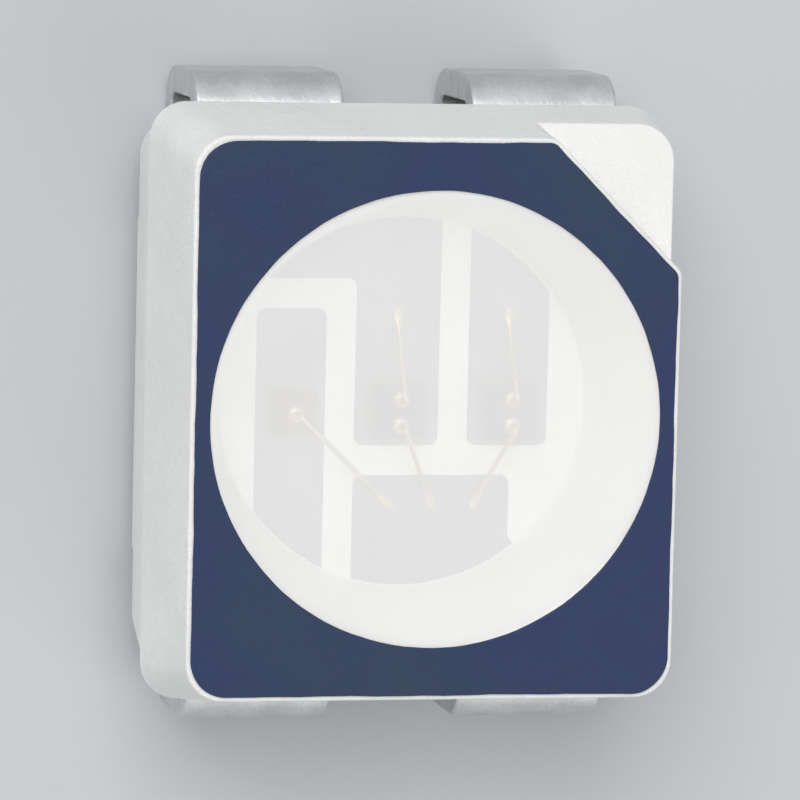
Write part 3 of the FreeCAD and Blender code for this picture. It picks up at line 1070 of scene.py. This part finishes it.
def light_world(strength, backdrop):
    """Even light from all round. The camera, metal and glass see the plain backdrop past the floor."""
    world = bpy.data.worlds.new("soft_surround")
    world.use_nodes = True
    tree = world.node_tree
    light = tree.nodes["Background"]
    light.inputs["Color"].default_value = (1.0, 1.0, 1.0, 1.0)
    light.inputs["Strength"].default_value = strength
    seen = add_node(tree, "ShaderNodeBackground", {"Color": (*backdrop, 1.0), "Strength": 1.0})
    rays = add_node(tree, "ShaderNodeLightPath", {})
    share = rays.outputs["Is Camera Ray"]
    for name in ("Is Glossy Ray", "Is Transmission Ray"):
        either = add_node(tree, "ShaderNodeMath", {0: share, 1: rays.outputs[name]}, operation="MAXIMUM")
        share = either.outputs[0]
    mix = add_node(tree, "ShaderNodeMixShader", {0: share, 1: light.outputs[0], 2: seen.outputs[0]})
    tree.links.new(mix.outputs[0], tree.nodes["World Output"].inputs[0])
    bpy.context.scene.world = world


def add_lamp(name, place, size, share):
    """Square lamp, placed in millimetres, that gives a level white surface that share of its brightness."""
    place = Vector(place) * MM
    data = bpy.data.lights.new(name, "AREA")
    data.size = size * MM
    data.energy = share * math.pi ** 2 * place.length_squared / (place.z / place.length) ** 2
    lamp = bpy.data.objects.new(name, data)
    lamp.location = place
    lamp.rotation_mode = "QUATERNION"
    lamp.rotation_quaternion = (-place).to_track_quat("-Z", "Y")
    bpy.context.scene.collection.objects.link(lamp)


def add_camera(stage, middle):
    """Camera nearly straight over the window, turned so that the face's width lies level in the picture."""
    data = bpy.data.cameras.new("camera")
    data.lens = stage.lens
    back = Vector((-math.tan(stage.tilt_side), math.tan(stage.tilt_up), 1)).normalized()
    right = (Vector((1, 0, 0)) - back * back.x).normalized()
    up = back.cross(right)
    camera = bpy.data.objects.new("camera", data)
    distance = stage.field * stage.lens / data.sensor_width
    turn = Matrix((right, up, back)).transposed().to_4x4()
    camera.matrix_world = Matrix.Translation(middle + back * distance) @ turn
    # The LED is small, so the clipping goes with the camera's distance.
    data.clip_start = distance / 10
    data.clip_end = distance * 100
    bpy.context.scene.collection.objects.link(camera)
    bpy.context.scene.camera = camera


class LED_OT_stage(bpy.types.Operator):
    """Sets the floor, the light and the camera"""
    bl_idname = "led.stage"
    bl_label = "Stage"

    def execute(self, context):
        stage = context.scene.led_stage
        mesh = bmesh.new()
        bmesh.ops.create_grid(mesh, x_segments=1, y_segments=1, size=stage.spread)
        floor = new_piece(mesh, "floor")
        floor.data.materials.append(stage_finish(stage.floor))
        floor.location.z = -stage.drop
        light_world(stage.world, stage.backdrop)
        add_lamp("key", (-12, 24, 50), 34, stage.key)
        add_lamp("fill", (24, -26, 34), 40, stage.fill)
        add_lamp("side", (-46, -4, 15), 24, stage.side)
        add_camera(stage, (CAD_BOX[0] + CAD_BOX[1]) / 2)
        context.scene.view_settings.view_transform = "Standard"
        return {"FINISHED"}


OPERATORS = (LED_OT_stage, LED_OT_leads, LED_OT_housing, LED_OT_print, LED_OT_dies, LED_OT_wires,
             LED_OT_resin)


class LED_PT_panel(bpy.types.Panel):
    """Lists the sizes, the colours and the steps that build the LED"""
    bl_idname = "LED_PT_panel"
    bl_label = "Surface-mount LED"
    bl_space_type = "VIEW_3D"
    bl_region_type = "UI"
    bl_category = "LED"

    def draw(self, context):
        for name, group in SETTINGS.items():
            box = self.layout.box()
            for entry in group.__annotations__:
                box.prop(getattr(context.scene, name), entry)
        for operator in OPERATORS:
            self.layout.operator(operator.bl_idname)


CLASSES = (*SETTINGS.values(), *OPERATORS, LED_PT_panel)


def register():
    for entry in CLASSES:
        bpy.utils.register_class(entry)
    for name, group in SETTINGS.items():
        setattr(bpy.types.Scene, name, bpy.props.PointerProperty(type=group))


def unregister():
    for name in SETTINGS:
        delattr(bpy.types.Scene, name)
    for entry in reversed(CLASSES):
        bpy.utils.unregister_class(entry)


def main():
    register()
    bpy.ops.led.stage()
    bpy.ops.led.leads()
    bpy.ops.led.housing()
    bpy.ops.led.print()
    bpy.ops.led.dies()
    bpy.ops.led.wires()
    bpy.ops.led.resin()


if __name__ == "__main__":
    main()
